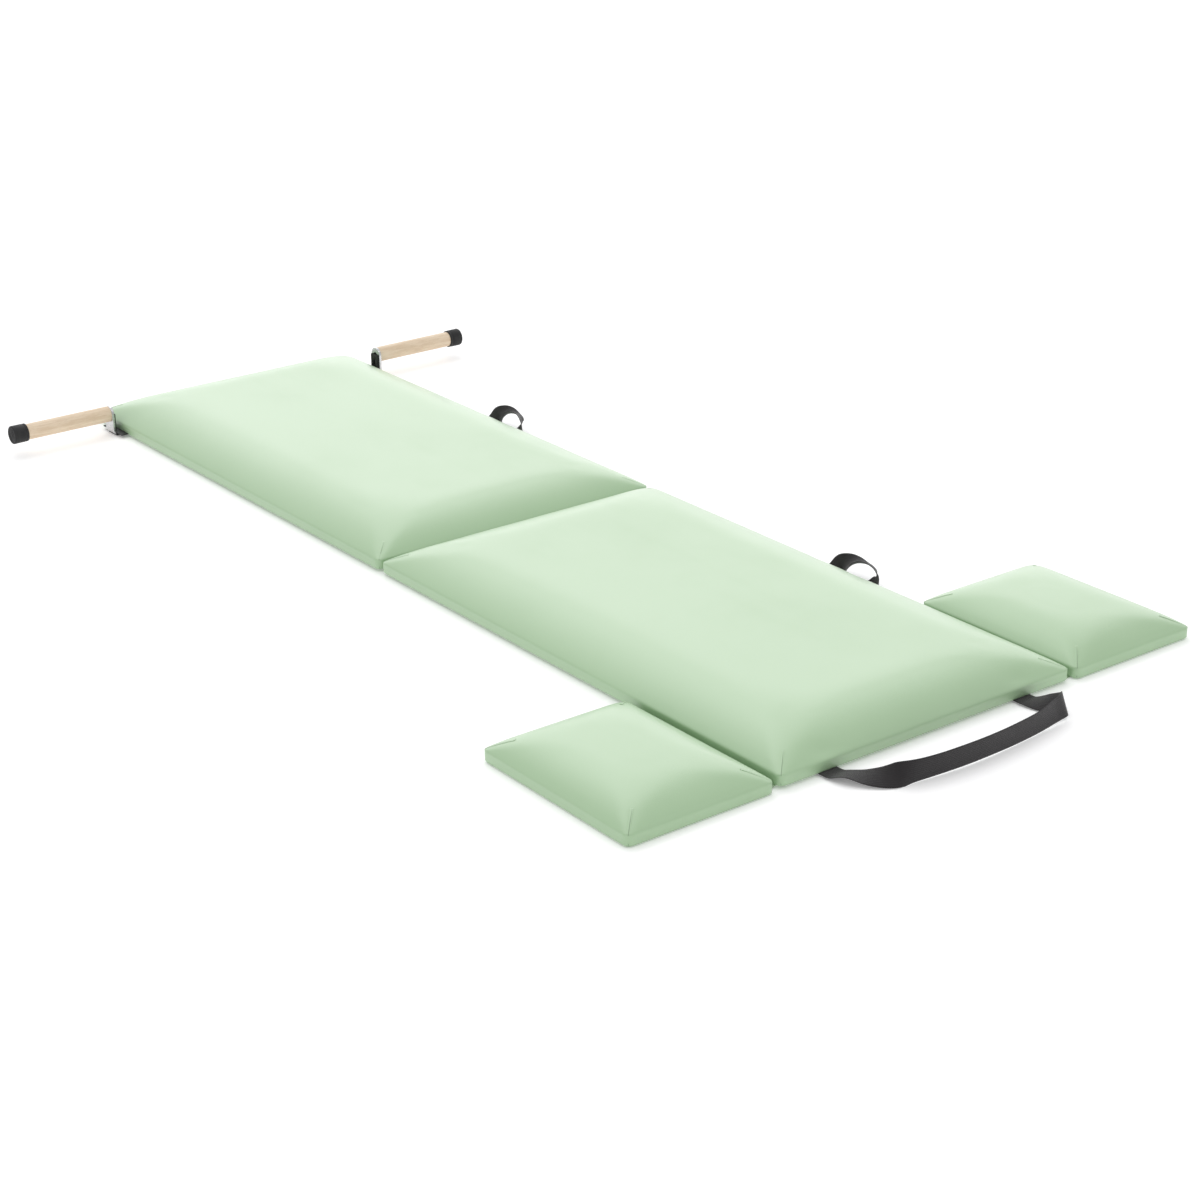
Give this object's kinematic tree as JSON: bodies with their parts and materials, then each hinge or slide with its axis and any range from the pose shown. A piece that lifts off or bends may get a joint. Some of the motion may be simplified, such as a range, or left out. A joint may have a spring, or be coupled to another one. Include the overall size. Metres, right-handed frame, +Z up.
{
  "type": "folding exercise mat",
  "caption": "Long padded exercise mat on plywood, folding in half, with fold-under leg wings, pull-out dowel handles, a webbing foot strap and carry loops.",
  "frame": {"origin": "on the floor, under the middle of the bounding box", "axes": "+Y along the mat from the foot end to the head end, +X to the side with the carry loops, +Z up"},
  "size_m": [1.178, 2.2562, 0.0635],
  "materials": {
    "vinyl": "smooth matte upholstery vinyl, fine grain",
    "foam": "upholstery foam",
    "plywood": "sanded birch plywood",
    "dust_cloth": "non-woven dust cloth",
    "rubber": "matte moulded rubber",
    "fastener_steel": "zinc plated",
    "plate_steel": "zinc plated",
    "bracket_steel": "polished stainless",
    "receiver_black": "black powder coat",
    "maple": "clear satin lacquer",
    "webbing": "woven polypropylene webbing"
  },
  "bodies": {
    "foot_panel": {"foot_base": "plywood", "foot_pad": "foam", "foot_cover": "vinyl", "foot_underlay": "dust_cloth", "foot_feet": "rubber", "foot_feet_screws": "fastener_steel", "foot_staples": "fastener_steel", "fold_flap_foot_half": "vinyl", "left_flap_panel_half": "vinyl", "right_flap_panel_half": "vinyl", "foot_strap_tails": "webbing", "foot_strap_plates": "plate_steel", "foot_strap_screws": "fastener_steel", "foot_loop_tails": "webbing", "foot_loop_plates": "plate_steel", "foot_loop_screws": "fastener_steel"},
    "head_panel": {"head_base": "plywood", "head_pad": "foam", "head_cover": "vinyl", "head_underlay": "dust_cloth", "head_feet": "rubber", "head_feet_screws": "fastener_steel", "head_staples": "fastener_steel", "fold_flap_head_half": "vinyl", "head_loop_tails": "webbing", "head_loop_plates": "plate_steel", "head_loop_screws": "fastener_steel", "left_receiver": "receiver_black", "left_receiver_screws": "fastener_steel", "right_receiver": "receiver_black", "right_receiver_screws": "fastener_steel"},
    "left_wing": {"left_wing_base": "plywood", "left_wing_pad": "foam", "left_wing_cover": "vinyl", "left_wing_underlay": "dust_cloth", "left_wing_dots": "rubber", "left_wing_staples": "fastener_steel", "left_flap_wing_half": "vinyl"},
    "right_wing": {"right_wing_base": "plywood", "right_wing_pad": "foam", "right_wing_cover": "vinyl", "right_wing_underlay": "dust_cloth", "right_wing_dots": "rubber", "right_wing_staples": "fastener_steel", "right_flap_wing_half": "vinyl"},
    "left_handle": {"left_handle_bracket": "bracket_steel", "left_handle_bumper": "rubber", "left_dowel": "maple", "left_dowel_screw": "fastener_steel", "left_dowel_cap": "rubber"},
    "right_handle": {"right_handle_bracket": "bracket_steel", "right_handle_bumper": "rubber", "right_dowel": "maple", "right_dowel_screw": "fastener_steel", "right_dowel_cap": "rubber"},
    "foot_strap": {"foot_strap": "webbing"},
    "head_carry_loop": {"head_carry_loop": "webbing"},
    "foot_carry_loop": {"foot_carry_loop": "webbing"}
  },
  "joints": [
    {"name": "mat_fold", "type": "hinge", "parent": "foot_panel", "child": "head_panel", "pos_m": [0, 0.0565, 0.0036], "axis": [-1, 0, 0], "range_deg": [0, 175]},
    {"name": "left_wing_fold", "type": "hinge", "parent": "foot_panel", "child": "left_wing", "pos_m": [-0.311, -0.8445, 0.0006], "axis": [0, -1, 0], "range_deg": [0, 180]},
    {"name": "right_wing_fold", "type": "hinge", "parent": "foot_panel", "child": "right_wing", "pos_m": [0.311, -0.8445, 0.0006], "axis": [0, 1, 0], "range_deg": [0, 180]},
    {"name": "left_handle_slide", "type": "slide", "parent": "head_panel", "child": "left_handle", "axis": [-1, 0, 0], "range_m": [0, 0.1]},
    {"name": "right_handle_slide", "type": "slide", "parent": "head_panel", "child": "right_handle", "axis": [1, 0, 0], "range_m": [0, 0.1]},
    {"name": "foot_strap_swing", "type": "hinge", "parent": "foot_panel", "child": "foot_strap", "pos_m": [0, -1.0165, 0.0045], "axis": [-1, 0, 0], "range_deg": [0, 60]},
    {"name": "head_loop_swing", "type": "hinge", "parent": "head_panel", "child": "head_carry_loop", "pos_m": [0.307, 0.5535, 0.0045], "axis": [0, -1, 0], "range_deg": [0, 25]},
    {"name": "foot_loop_swing", "type": "hinge", "parent": "foot_panel", "child": "foot_carry_loop", "pos_m": [0.307, -0.4915, 0.0045], "axis": [0, -1, 0], "range_deg": [0, 25]}
  ]
}
